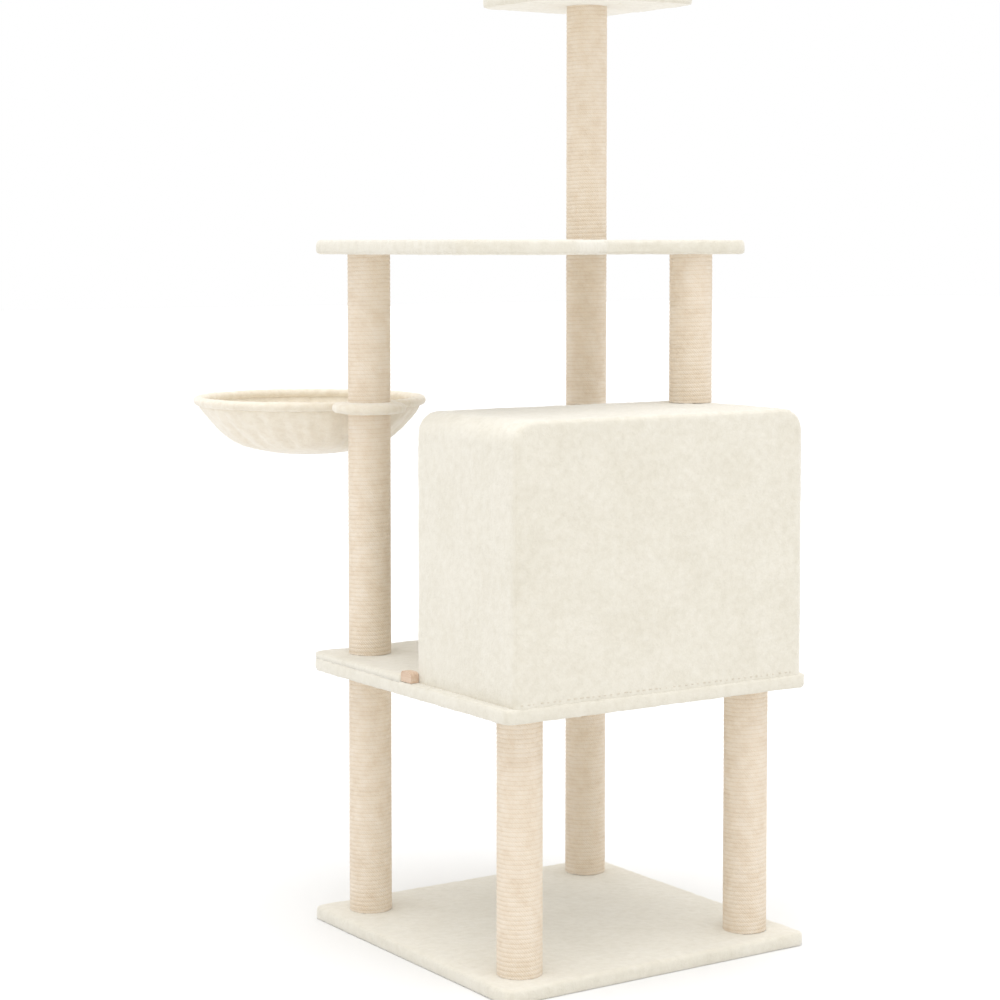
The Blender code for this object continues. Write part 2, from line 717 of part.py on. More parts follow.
def make_fasteners():
    base_seat = BOLT_SUNK + BOLT_HEAD_H
    for corner, centre in CORNERS.items():
        make_bolt(f"base_bolt_{corner}", centre, base_seat, LOWER_POST_Z + THREAD_L - base_seat)
    floor_seat = MIDDLE_TOP_Z + SEAT_GAP
    for corner in ("front_left", "front_right"):
        shank = floor_seat - (MIDDLE_Z - SEAT_GAP - THREAD_L)
        make_bolt(f"floor_bolt_{corner}", CORNERS[corner], floor_seat, -shank)
    for corner in ("rear_left", "rear_right"):
        low = MIDDLE_Z - SEAT_GAP - THREAD_L
        make_stud(f"middle_stud_{corner}", CORNERS[corner], low, MIDDLE_POST_Z + THREAD_L)
    basket_low = HUB_Z - SEAT_GAP - THREAD_L
    make_stud("basket_stud", CORNERS["rear_left"], basket_low, SHORT_POST_Z + THREAD_L)
    joint_low = REAR_UPPER_POST_Z - SEAT_GAP - THREAD_L
    make_stud("section_stud", CORNERS["rear_right"], joint_low, REAR_UPPER_POST_Z + THREAD_L)
    under_platform = PLATFORM_Z - SEAT_GAP - THREAD_L
    make_stud("platform_stud_rear_left", CORNERS["rear_left"], under_platform, PLATFORM_Z + BOARD_THREAD_L)
    make_stud("platform_stud_house", HOUSE_POST, under_platform, PLATFORM_Z + BOARD_THREAD_L)
    make_stud("platform_stud_rear_right", CORNERS["rear_right"], under_platform, TOP_POST_Z + THREAD_L)
    make_stud("perch_stud", CORNERS["rear_right"], PERCH_Z - SEAT_GAP - THREAD_L, PERCH_Z + BOARD_THREAD_L)
    inner_depth = HOUSE_PLUSH_T + WRAP_PANEL_T + 2 * SEAT_GAP
    roof_seat = HOUSE_TOP_Z - inner_depth - ROOF_BOARD_T - SEAT_GAP
    make_bolt("house_roof_bolt", HOUSE_POST, roof_seat, SHORT_POST_Z + THREAD_L - roof_seat)


def main():
    clear_scene()
    make_base()
    make_middle()
    make_landing()
    make_platform()
    make_perch()
    make_posts()
    make_house()
    make_corner_block()
    make_basket()
    make_fasteners()


main()
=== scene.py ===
"""The cat tree's looks: plush covers, wound sisal, a stuffed basket and the studio round them.

Everything is in metres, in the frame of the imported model: +Z up, the house's closed front faces -Y.
"""

import json
import math

import bmesh
import bpy
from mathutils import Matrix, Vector, noise


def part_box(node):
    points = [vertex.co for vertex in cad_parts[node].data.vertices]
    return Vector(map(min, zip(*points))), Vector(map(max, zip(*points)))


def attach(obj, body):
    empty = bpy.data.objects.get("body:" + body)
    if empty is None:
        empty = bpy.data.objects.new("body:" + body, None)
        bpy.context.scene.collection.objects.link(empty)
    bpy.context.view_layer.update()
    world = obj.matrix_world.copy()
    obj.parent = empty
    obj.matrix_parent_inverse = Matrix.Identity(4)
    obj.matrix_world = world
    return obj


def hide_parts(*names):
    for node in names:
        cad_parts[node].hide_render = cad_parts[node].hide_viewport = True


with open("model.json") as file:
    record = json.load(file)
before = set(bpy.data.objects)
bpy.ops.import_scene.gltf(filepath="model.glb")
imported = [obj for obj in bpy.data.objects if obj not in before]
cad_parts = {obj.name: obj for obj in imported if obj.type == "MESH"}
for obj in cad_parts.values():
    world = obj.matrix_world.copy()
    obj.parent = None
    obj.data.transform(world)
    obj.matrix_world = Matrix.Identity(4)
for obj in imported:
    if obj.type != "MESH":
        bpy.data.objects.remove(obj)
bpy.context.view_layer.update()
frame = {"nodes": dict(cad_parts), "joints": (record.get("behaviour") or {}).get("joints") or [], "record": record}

# Meshes
TOUCHING = 1e-6             # points closer than this are one point
SAME_LEVEL = 1e-5
ROUNDING_STEPS = 5          # mesh steps round a quarter circle

# Plush
PILE_CELL = 0.004           # cell of the plush covers' meshes
PILE_DEPTH = 0.0007         # how far the pile's clumps stand out
PILE_SIZE = 0.007
SWELL_DEPTH = 0.0005        # slow unevenness of the cloth under the pile
SWELL_SIZE = 0.045
PILE_OUT = 0.0012           # pile beyond the CAD's edges, round a board
COVER_R = 0.004             # rounding of a covered board's edges
LANDING_R = 0.003           # the same on the landing's top
SEAM_R = 0.001              # the same where one covered piece lies on another
SEAM_SUNK = 0.0022          # how far the upper of the two presses into the lower one's pile
UNDER_T = 0.0008            # cloth on the underside of the raised boards
BACKING_T = 0.0007          # woven backing that carries the pile

# Sisal
ROPE_PITCH = 0.006
ROPE_T = 0.0045             # wall of the wound layer
ROPE_ROWS = 6               # mesh rows on each turn of the rope
ROPE_COLUMNS = 40           # mesh columns round the post
ROPE_GROOVE = 0.0006        # depth of the groove between two turns
GROOVE_POWER = 2.6          # higher is a narrower groove
ROPE_UNEVEN = 0.0002
UNEVEN_ROUND = 3.0          # how fast the unevenness changes round the post
UNEVEN_UP = 90.0            # and along it
ROPE_CREASE = math.radians(60)
STRANDS = 3
STRAND_LAY = 0.010          # length of rope in which a strand goes once round

# House
HOUSE_EDGE_R = 0.030        # the two long top edges
HOUSE_FACE_R = 0.005        # the edges round the front and rear faces
ENTRANCE_R = 0.100
PIPING_R = 0.0042
PIPING_IN = 0.4             # how far the piping closes the entrance, as a share of its radius
PIPING_SUNK = 0.3           # how far it lies behind the rear face, likewise
PIPING_SEGMENTS = 160
PIPING_SIDES = 12
STITCH_L = 0.0055
STITCH_GAP = 0.0045
STITCH_R = 0.0006
STITCH_UP = 0.004           # height of the row above the house's foot

# Basket
RIM_SEGMENTS = 220
RIM_SIDES = 12
RIM_CAP = 0.0014            # most that the padding may swell
RIM_OUT = 0.0018            # padding moved outwards, away from the wire
HUB_CELL = 0.003
HUB_SIDES = 64
HUB_CAP = 0.0012            # most that the hub's padding may swell
HUB_ROUNDING = 0.9          # edge rounding, as a share of half the hub's height
BOWL_SEGMENTS = 96
BOWL_RINGS = 22
BOWL_START = 0.03           # share of the quarter turn that the rim's padding hides
BOWL_T = 0.0025
BOWL_CAP = 0.006            # most that the cloth may sag or gather
BOWL_DEPTH = 0.071          # below the middle of the rim
BOWL_FULLNESS = 2.15        # exponent of the bowl's section: 2 is an ellipse, more is fuller
BOWL_SPARE = 0.03           # share by which the cloth is cut larger than the bowl
PLEAT_DEPTH = 0.0018
PLEAT_RINGS = 3             # rings from the rim in which the pleats come up
PLEATS_ROUND = 4.0          # how fast the pleats change round the bowl
PLEATS_DOWN = 0.3           # and from ring to ring

# Cloth simulation
SIM_FRAMES = 20
PADDING_PRESSURE = 4.0
CLOTH = {
    "quality": 5,
    "mass": 0.2,
    "tension_stiffness": 15.0,
    "compression_stiffness": 15.0,
    "bending_stiffness": 0.4,
}

# Textures, in cells per metre
PLUSH_TUFTS = 330.0
PLUSH_FIBRES = 900.0
PLUSH_CLUMPS = 95.0
PLUSH_DRIFT = 16.0
SISAL_BATCHES = 55.0
STEEL_BLOOM = 220.0
THREAD_FIBRES = 900.0

# Studio
FLOOR_HALF = 30.0
FLOOR_GAP = 0.0002          # between the floor and the base
FLOOR_GREY = (0.82, 0.82, 0.82, 1.0)
WHITE = (1.0, 1.0, 1.0)
SUN_POWER = 1.6
SUN_SPREAD = math.radians(60)
SUN_COURSE = (0.06, 0.1, -1.0)

# Camera
CAMERA_PLACE = (-1.9253, -2.7366, 0.9545)
CAMERA_YAW = 0.5903         # turned to the right from +Y, in radians
CAMERA_DOWN = 0.0596        # tilted down, in radians
CAMERA_LENS = 87.78
CAMERA_SHIFT = -0.11


# Meshes

def piece(name, points, faces):
    mesh = bpy.data.meshes.new(name)
    mesh.from_pydata(points, [], faces)
    mesh.validate()
    return as_piece(name, mesh)


def as_piece(name, mesh):
    """A smooth-shaded object with its faces turned outwards."""
    bm = bmesh.new()
    bm.from_mesh(mesh)
    bmesh.ops.recalc_face_normals(bm, faces=bm.faces)
    bm.to_mesh(mesh)
    bm.free()
    mesh.shade_smooth()
    obj = bpy.data.objects.new(name, mesh)
    bpy.context.scene.collection.objects.link(obj)
    return obj


def apply_modifiers(obj):
    """Bakes an object's modifiers into its mesh."""
    depsgraph = bpy.context.evaluated_depsgraph_get()
    mesh = bpy.data.meshes.new_from_object(obj.evaluated_get(depsgraph))
    obj.modifiers.clear()
    obj.data = mesh
    mesh.shade_smooth()


def remesh(obj, cell):
    """Cuts a closed mesh into even cells."""
    modifier = obj.modifiers.new("cells", "REMESH")
    modifier.mode = "VOXEL"
    modifier.voxel_size = cell
    apply_modifiers(obj)


def subdivide(obj):
    obj.modifiers.new("smooth", "SUBSURF")
    apply_modifiers(obj)


def finish_piece(obj, material, slot, body, *nodes):
    """Dresses a piece, fixes it to its CAD body and puts it in place of CAD nodes."""
    obj.data.materials.clear()
    obj.data.materials.append(material)
    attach(obj, body)
    if nodes:
        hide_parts(*nodes)


def unit(x, y):
    length = math.hypot(x, y)
    return x / length, y / length


def inset(outline, distance):
    """An anticlockwise outline moved inwards, with mitred corners."""
    moved = []
    for i, (x, y) in enumerate(outline):
        x0, y0 = outline[i - 1]
        x1, y1 = outline[(i + 1) % len(outline)]
        in_x, in_y = unit(x - x0, y - y0)
        out_x, out_y = unit(x1 - x, y1 - y)
        normal_x, normal_y = unit(-in_y - out_y, in_x + out_x)
        mitre = distance / (normal_x * -in_y + normal_y * in_x)
        moved.append((x + normal_x * mitre, y + normal_y * mitre))
    return moved


def area_of(loop):
    """The area inside a loop, negative for a clockwise one."""
    return sum(a[0] * b[1] - a[1] * b[0] for a, b in zip(loop, loop[1:] + loop[:1])) / 2


def outline_of(node):
    """The anticlockwise outer outline of a CAD node's top face."""
    mesh = frame["nodes"][node].data
    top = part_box(node)[1].z

    def key(index):
        co = mesh.vertices[index].co
        return round(co.x, 6), round(co.y, 6)

    edges = set()
    for polygon in mesh.polygons:
        if any(abs(mesh.vertices[i].co.z - top) > SAME_LEVEL for i in polygon.vertices):
            continue
        ring = [key(i) for i in polygon.vertices]
        for a, b in zip(ring, ring[1:] + ring[:1]):
            if (b, a) in edges:
                edges.remove((b, a))
            else:
                edges.add((a, b))
    after = dict(sorted(edges))
    loops = []
    while after:
        start, here = next(iter(after.items()))
        del after[start]
        loop = [start]
        while here != start:
            loop.append(here)
            here = after.pop(here)
        loops.append(loop)
    return max(loops, key=area_of)


def stacked(levels):
    """A closed mesh through rings of equal length, with a cap at each end."""
    count = len(levels[0])
    points = [point for level in levels for point in level]
    faces = [list(range(count))[::-1]]
    for k in range(len(levels) - 1):
        for i in range(count):
            j = (i + 1) % count
            low, high = k * count, (k + 1) * count
            faces.append((low + i, low + j, high + j, high + i))
    last = (len(levels) - 1) * count
    faces.append([last + i for i in range(count)])
    return points, faces


def rounding(radius):
    """(inset, distance from the face) pairs round a quarter circle, from the face to the side."""
    steps = []
    for i in range(ROUNDING_STEPS + 1):
        angle = math.pi / 2 * i / ROUNDING_STEPS
        steps.append((radius * (1 - math.sin(angle)), radius * (1 - math.cos(angle))))
    return steps


def rounded_slab(name, outline, low, high, low_r, high_r, place):
    """An outline extruded from low to high with rounded edges. place(a, b, h) gives a point."""
    levels = []
    for depth, rise in rounding(low_r):
        levels.append([place(a, b, low + rise) for a, b in inset(outline, depth)])
    for depth, rise in reversed(rounding(high_r)):
        levels.append([place(a, b, high - rise) for a, b in inset(outline, depth)])
    return piece(name, *stacked(levels))


def add_pile(obj, seed):
    """Clumps of pile and a slow unevenness, moved along the normals."""
    shift = Vector((seed * 3.1, seed * 1.7, seed * 5.3))
    mesh = obj.data
    normals = [vertex.normal.copy() for vertex in mesh.vertices]
    for vertex, normal in zip(mesh.vertices, normals):
        clump = noise.noise(vertex.co / PILE_SIZE + shift)
        swell = noise.noise(vertex.co / SWELL_SIZE - shift)
        vertex.co += normal * (PILE_DEPTH * clump + SWELL_DEPTH * swell)
    mesh.update()


# Materials

def new_material(name, roughness):
    material = bpy.data.materials.new(name)
    material.use_nodes = True
    shader = material.node_tree.nodes["Principled BSDF"]
    shader.inputs["Roughness"].default_value = roughness
    return material, material.node_tree, shader


def add_node(tree, kind, inputs=None, **settings):
    """A shader node. inputs holds values, or the sockets to link from."""
    node = tree.nodes.new(kind)
    for key, value in settings.items():
        setattr(node, key, value)
    for key, value in (inputs or {}).items():
        if isinstance(value, bpy.types.NodeSocket):
            tree.links.new(value, node.inputs[key])
        else:
            node.inputs[key].default_value = value
    return node


def place_socket(tree):
    return add_node(tree, "ShaderNodeTexCoord").outputs["Object"]


def noise_socket(tree, where, scale, detail=2.0, rough=0.5):
    inputs = {"Vector": where, "Scale": scale, "Detail": detail, "Roughness": rough}
    return add_node(tree, "ShaderNodeTexNoise", inputs).outputs["Fac"]


def ramp_socket(tree, fac, *stops):
    """A colour ramp through (position, colour) stops."""
    ramp = add_node(tree, "ShaderNodeValToRGB", {"Fac": fac})
    elements = ramp.color_ramp.elements
    while len(elements) < len(stops):
        elements.new(0.5)
    for element, (position, colour) in zip(elements, stops):
        element.position = position
        element.color = (*colour, 1.0)
    return ramp.outputs["Color"]


def math_socket(tree, operation, a, b=0.0):
    return add_node(tree, "ShaderNodeMath", {0: a, 1: b}, operation=operation).outputs[0]


def blend_socket(tree, a, b, share):
    """The weighted sum of two values, with this share of a."""
    return math_socket(tree, "ADD", math_socket(tree, "MULTIPLY", a, share),
                       math_socket(tree, "MULTIPLY", b, 1 - share))


def multiply_colours(tree, a, b):
    inputs = {0: 1.0, 6: a, 7: b}
    return add_node(tree, "ShaderNodeMix", inputs, data_type="RGBA", blend_type="MULTIPLY").outputs[2]


def bump(tree, shader, height, distance, strength, under=None):
    inputs = {"Height": height, "Distance": distance, "Strength": strength}
    if under is not None:
        inputs["Normal"] = under
    made = add_node(tree, "ShaderNodeBump", inputs)
    tree.links.new(made.outputs["Normal"], shader.inputs["Normal"])
    return made.outputs["Normal"]


def plush_material(name, hollow, body, tip):
    """Short pile with a soft sheen: colour mottled at random, and darker where the pile's bump is low, which
    paints shade into its hollows.
    """
    material, tree, shader = new_material(name, 0.95)
    shader.inputs["Sheen Weight"].default_value = 0.6
    shader.inputs["Sheen Roughness"].default_value = 0.6
    shader.inputs["Specular IOR Level"].default_value = 0.15
    where = place_socket(tree)
    cells = {"Vector": where, "Scale": PLUSH_TUFTS, "Randomness": 1.0}
    tufts = add_node(tree, "ShaderNodeTexVoronoi", cells, feature="SMOOTH_F1").outputs["Distance"]
    fibres = noise_socket(tree, where, PLUSH_FIBRES, 3.0, 0.65)
    clumps = noise_socket(tree, where, PLUSH_CLUMPS, 3.0, 0.6)
    lean = noise_socket(tree, where, PLUSH_DRIFT)
    # Painted light and shade over random mottling: the colour follows the bump's noise, so hollows are darker and
    # tips lighter.
    shade = blend_socket(tree, clumps, fibres, 0.55)
    colour = ramp_socket(tree, shade, (0.34, hollow), (0.48, body), (0.62, tip))
    drift = ramp_socket(tree, lean, (0.35, (0.96, 0.955, 0.94)), (0.65, WHITE))
    tree.links.new(multiply_colours(tree, colour, drift), shader.inputs["Base Color"])
    ground = bump(tree, shader, clumps, 0.003, 0.25)
    tufted = bump(tree, shader, math_socket(tree, "SUBTRACT", 1.0, tufts), 0.0012, 0.25, ground)
    bump(tree, shader, fibres, 0.0006, 0.35, tufted)
    return material


def sisal_material():
    """Three-strand rope. UV: U in metres along the rope, V from 0 to 1 across it."""
    material, tree, shader = new_material("sisal_rope", 0.85)
    shader.inputs["Specular IOR Level"].default_value = 0.25
    shader.inputs["Sheen Weight"].default_value = 0.1
    uv = add_node(tree, "ShaderNodeUVMap", uv_map="rope").outputs[0]
    split = add_node(tree, "ShaderNodeSeparateXYZ", {0: uv})
    along = split.outputs[0]
    across = split.outputs[1]
    lay = math_socket(tree, "ADD", math_socket(tree, "MULTIPLY", along, STRANDS / STRAND_LAY),
                      math_socket(tree, "MULTIPLY", across, 1.6))
    wave = math_socket(tree, "SINE", math_socket(tree, "MULTIPLY", lay, math.pi))
    strand = math_socket(tree, "ABSOLUTE", wave)
    grain = add_node(tree, "ShaderNodeCombineXYZ", {
        0: math_socket(tree, "MULTIPLY", lay, 7.0),
        1: math_socket(tree, "MULTIPLY", along, 60.0),
        2: math_socket(tree, "MULTIPLY", across, 1.5),
    }).outputs[0]
    fibre = noise_socket(tree, grain, 1.0, 4.0, 0.7)
    batch = noise_socket(tree, place_socket(tree), SISAL_BATCHES, 3.0, 0.6)
    shade = blend_socket(tree, fibre, batch, 0.6)
    colour = ramp_socket(tree, shade, (0.36, (0.70, 0.575, 0.44)), (0.5, (0.785, 0.68, 0.55)),
                         (0.62, (0.82, 0.73, 0.62)))
    # Painted shade: the rope's colour darkens towards the groove between two turns, where shade falls.
    groove = math_socket(tree, "SINE", math_socket(tree, "MULTIPLY", across, math.pi))
    groove_shade = ramp_socket(tree, groove, (0.0, (0.93, 0.89, 0.82)), (0.45, WHITE))
    tree.links.new(multiply_colours(tree, colour, groove_shade), shader.inputs["Base Color"])
    twisted = bump(tree, shader, strand, 0.001, 0.35)
    bump(tree, shader, fibre, 0.0006, 0.5, twisted)
    return material


def speckled_material(name, dark, middle, light, scale, roughness, stretch=(1.0, 1.0, 1.0)):
    """Pressed board, paper or planed wood: flecks, stretched along the grain where it has one."""
    material, tree, shader = new_material(name, roughness)
    shader.inputs["Specular IOR Level"].default_value = 0.3
    inputs = {"Vector": place_socket(tree), "Scale": stretch}
    where = add_node(tree, "ShaderNodeMapping", inputs).outputs[0]
    flecks = noise_socket(tree, where, scale, 4.0, 0.7)
    clouds = noise_socket(tree, where, scale / 9)
    shade = blend_socket(tree, flecks, clouds, 0.7)
    colour = ramp_socket(tree, shade, (0.35, dark), (0.5, middle), (0.65, light))
    tree.links.new(colour, shader.inputs["Base Color"])
    bump(tree, shader, flecks, 0.0006, 0.4)
    return material


def steel_material():
    """Zinc-plated steel with a patchy bloom."""
    material, tree, shader = new_material("zinc_steel", 0.35)
    shader.inputs["Metallic"].default_value = 1.0
    bloom = noise_socket(tree, place_socket(tree), STEEL_BLOOM, 3.0, 0.6)
    colour = ramp_socket(tree, bloom, (0.35, (0.50, 0.50, 0.53)), (0.65, (0.68, 0.68, 0.70)))
    tree.links.new(colour, shader.inputs["Base Color"])
    spread = {"Value": bloom, "To Min": 0.28, "To Max": 0.48}
    rough = add_node(tree, "ShaderNodeMapRange", spread).outputs[0]
    tree.links.new(rough, shader.inputs["Roughness"])
    bump(tree, shader, bloom, 0.0002, 0.3)
    return material


def thread_material():
    material, tree, shader = new_material("thread", 0.7)
    fibres = noise_socket(tree, place_socket(tree), THREAD_FIBRES)
    colour = ramp_socket(tree, fibres, (0.35, (0.56, 0.50, 0.40)), (0.65, (0.68, 0.62, 0.52)))
    tree.links.new(colour, shader.inputs["Base Color"])
    return material


PLUSH = plush_material("plush", (0.665, 0.624, 0.526), (0.71, 0.67, 0.572), (0.747, 0.71, 0.618))
BASKET_PLUSH = plush_material(
    "basket_plush", (0.72, 0.64, 0.52), (0.77, 0.70, 0.58), (0.81, 0.75, 0.64))
SISAL = sisal_material()
CHIPBOARD = speckled_material(
    "chipboard", (0.30, 0.20, 0.11), (0.52, 0.38, 0.23), (0.68, 0.54, 0.36),
    scale=260.0, roughness=0.8)
HARDBOARD = speckled_material(
    "hardboard", (0.26, 0.17, 0.10), (0.36, 0.24, 0.15), (0.44, 0.31, 0.20),
    scale=420.0, roughness=0.7)
PAPER_TUBE = speckled_material(
    "paper_tube", (0.48, 0.40, 0.30), (0.58, 0.49, 0.37), (0.66, 0.57, 0.44),
    scale=180.0, roughness=0.85, stretch=(1.0, 1.0, 3.0))
PINE = speckled_material(
    "pine", (0.50, 0.34, 0.24), (0.62, 0.46, 0.34), (0.70, 0.56, 0.44),
    scale=240.0, roughness=0.65, stretch=(1.0, 0.12, 1.0))
SLOT_MATERIALS = {
    "plush": PLUSH,
    "basket_plush": BASKET_PLUSH,
    "sisal": SISAL,
    "steel": steel_material(),
    "chipboard": CHIPBOARD,
    "hardboard": HARDBOARD,
    "paper_tube": PAPER_TUBE,
    "pine": PINE,
}


def dress_cad_nodes():
    """Gives every CAD node the finish of its own slot."""
    for entry in frame["record"]["subparts"]:
        node = frame["nodes"][entry["node"]]
        node.data.materials.clear()
        node.data.materials.append(SLOT_MATERIALS[entry["material_slot"]])


# Covered boards

def lying(a, b, h):
    return a, b, h


def cover_board(node, seed, wraps_under=True, sunk=0.0, bottom_r=COVER_R, top_r=COVER_R):
    """The plush stretched over a board, and round its underside too where it wraps under."""
    low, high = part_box(node)
    bottom = low.z - (UNDER_T if wraps_under else sunk)
    name = node.replace("_plush", "_cover")
    outline = inset(outline_of(node), -PILE_OUT)
    obj = rounded_slab(name, outline, bottom, high.z, bottom_r, top_r, lying)
    remesh(obj, PILE_CELL)
    add_pile(obj, seed)
    if not wraps_under:
        open_underneath(obj, bottom)
    back_with_cloth(obj)
    finish_piece(obj, PLUSH, "plush", "tree", node)


def open_underneath(obj, bottom):
    """Takes the underside away and brings the rim down to one level."""
    bm = bmesh.new()
    bm.from_mesh(obj.data)
    reach = bottom + PILE_CELL / 2
    under = [face for face in bm.faces if face.calc_center_median().z < reach and face.normal.z < -0.5]
    bmesh.ops.delete(bm, geom=under, context="FACES")
    for vertex in bm.verts:
        if vertex.is_boundary:
            vertex.co.z = bottom
        vertex.co.z = max(vertex.co.z, bottom)
    bm.to_mesh(obj.data)
    bm.free()


def back_with_cloth(obj):
    """Gives an open cover the thickness of its woven backing, inwards."""
    backing = obj.modifiers.new("backing", "SOLIDIFY")
    backing.thickness = BACKING_T
    backing.offset = -1.0
    apply_modifiers(obj)


def make_covers():
    cover_board("base_plush", 1, wraps_under=False, bottom_r=SEAM_R)
    cover_board("middle_plush", 2, top_r=SEAM_R)
    cover_board("landing_plush", 3, wraps_under=False, sunk=SEAM_SUNK, bottom_r=SEAM_R, top_r=LANDING_R)
    cover_board("platform_plush", 4)
    cover_board("perch_plush", 5)


# Sisal posts

def rope_radius(height, angle, outer, seed):
    """Distance of the wound rope's surface from the post's axis."""
    phase = (height / ROPE_PITCH - angle / (2 * math.pi)) % 1.0
    hollow = abs(2 * phase - 1) ** GROOVE_POWER
    place = (math.cos(angle) * UNEVEN_ROUND, math.sin(angle) * UNEVEN_ROUND, height * UNEVEN_UP + seed)
    uneven = noise.noise(Vector(place))
    return outer - ROPE_GROOVE * hollow + ROPE_UNEVEN * (uneven - 1)


def rope_grid(bm, centre_x, centre_y, foot, length, outer, seed):
    """Rows of points that climb one rope pitch in each turn, held between the post's two ends."""
    rows = int((length / ROPE_PITCH + 2) * ROPE_ROWS) + ROPE_ROWS + 1
    grid = []
    for j in range(rows):
        row = []
        for i in range(ROPE_COLUMNS):
            angle = 2 * math.pi * i / ROPE_COLUMNS
            height = (j / ROPE_ROWS + i / ROPE_COLUMNS - 1) * ROPE_PITCH
            height = min(max(height, 0.0), length)
            radius = rope_radius(height, angle, outer, seed)
            x = centre_x + radius * math.cos(angle)
            y = centre_y + radius * math.sin(angle)
            row.append(bm.verts.new((x, y, foot + height)))
        grid.append(row)
    return grid


def rope_faces(bm, grid, outer):
    """Faces between the rows. A row's end meets its own start one turn higher."""
    uv = bm.loops.layers.uv.new("rope")
    turn_length = 2 * math.pi * outer
    step = turn_length / ROPE_COLUMNS
    for j in range(len(grid) - ROPE_ROWS - 1):
        for i in range(ROPE_COLUMNS):
            wraps = i == ROPE_COLUMNS - 1
            right = 0 if wraps else i + 1
            lift = ROPE_ROWS if wraps else 0
            face = bm.faces.new(
                (grid[j][i], grid[j + lift][right], grid[j + lift + 1][right], grid[j + 1][i]))
            u = (j // ROPE_ROWS) * turn_length + turn_length * i / ROPE_COLUMNS
            v = (j % ROPE_ROWS) / ROPE_ROWS
            v_top = v + 1 / ROPE_ROWS
            for loop, place in zip(face.loops, ((u, v), (u + step, v), (u + step, v_top), (u, v_top))):
                loop[uv].uv = place


def wind_post(name, node, seed):
    """A sleeve whose mesh rows follow the rope. U runs along the rope and V across it."""
    low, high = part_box(node)
    centre_x = (low.x + high.x) / 2
    centre_y = (low.y + high.y) / 2
    outer = (high.x - low.x) / 2
    bm = bmesh.new()
    grid = rope_grid(bm, centre_x, centre_y, low.z, high.z - low.z, outer, seed)
    rope_faces(bm, grid, outer)
    bmesh.ops.remove_doubles(bm, verts=bm.verts, dist=TOUCHING)
    bmesh.ops.dissolve_degenerate(bm, dist=TOUCHING, edges=bm.edges)
    loose = [vertex for vertex in bm.verts if not vertex.link_faces]
    bmesh.ops.delete(bm, geom=loose, context="VERTS")
    close_sleeve(bm, centre_x, centre_y, outer - ROPE_T)
    mesh = bpy.data.meshes.new(name)
    bm.to_mesh(mesh)
    bm.free()
    obj = as_piece(name, mesh)
    mesh.set_sharp_from_angle(angle=ROPE_CREASE)
    finish_piece(obj, SISAL, "sisal", "tree", node)


def close_sleeve(bm, centre_x, centre_y, inner):
    """Turns the rope's skin into a sleeve with an inner wall."""
    edges = [edge for edge in bm.edges if edge.is_boundary]
    made = bmesh.ops.extrude_edge_only(bm, edges=edges)
    ring = [item for item in made["geom"] if isinstance(item, bmesh.types.BMVert)]
    for vertex in ring:
        x, y = unit(vertex.co.x - centre_x, vertex.co.y - centre_y)
        vertex.co.x = centre_x + x * inner
        vertex.co.y = centre_y + y * inner
    inside = [edge for edge in bm.edges if edge.is_boundary]
    bmesh.ops.bridge_loops(bm, edges=inside)


def make_posts():
    names = sorted(name for name in frame["nodes"] if name.endswith("_sisal"))
    for seed, node in enumerate(names):
        wind_post(node.replace("_sisal", "_rope"), node, seed)


# House

def arch_outline(left, right, low, top):
    """The house's section, anticlockwise, as (x, z)."""
    outline = [(right, low)]
    steps = 3 * ROUNDING_STEPS
    centre_z = top - HOUSE_EDGE_R
    for centre_x, first in ((right - HOUSE_EDGE_R, 0.0), (left + HOUSE_EDGE_R, math.pi / 2)):
        for i in range(steps + 1):
            angle = first + math.pi / 2 * i / steps
            x = centre_x + HOUSE_EDGE_R * math.cos(angle)
            z = centre_z + HOUSE_EDGE_R * math.sin(angle)
            outline.append((x, z))
    outline.append((left, low))
    return outline


def standing(a, b, h):
    return a, h, b


def entrance_centre():
    """The middle of the round hole in the rear panel, on the rear face."""
    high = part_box("house_rear_plush")[1]
    openings = frame["record"]["physics"]["openings"]
    opening = next(o for o in openings if o["name"] == "house_entrance")
    (x0, _, z0), (x1, _, z1) = opening["box_m"]
    return Vector(((x0 + x1) / 2, high.y, (z0 + z1) / 2))


def open_house(obj, foot, rear):
    """Cuts the cover off at its foot and cuts out the round entrance."""
    bm = bmesh.new()
    bm.from_mesh(obj.data)
    everything = bm.verts[:] + bm.edges[:] + bm.faces[:]
    bmesh.ops.bisect_plane(bm, geom=everything, plane_co=Vector((0.0, 0.0, foot)), plane_no=(0.0, 0.0, 1.0),
                           clear_inner=True)
    centre = entrance_centre()
    doorway = [vertex for vertex in bm.verts if vertex.co.y > rear - HOUSE_FACE_R
               and math.hypot(vertex.co.x - centre.x, vertex.co.z - centre.z) < ENTRANCE_R]
    bmesh.ops.delete(bm, geom=doorway, context="VERTS")
    for vertex in bm.verts:
        from_x = vertex.co.x - centre.x
        from_z = vertex.co.z - centre.z
        reach = math.hypot(from_x, from_z)
        at_rear = vertex.is_boundary and vertex.co.y > rear - HOUSE_FACE_R
        if at_rear and reach < ENTRANCE_R + 2 * PILE_CELL:
            vertex.co.x = centre.x + from_x / reach * ENTRANCE_R
            vertex.co.z = centre.z + from_z / reach * ENTRANCE_R
    bm.to_mesh(obj.data)
    bm.free()


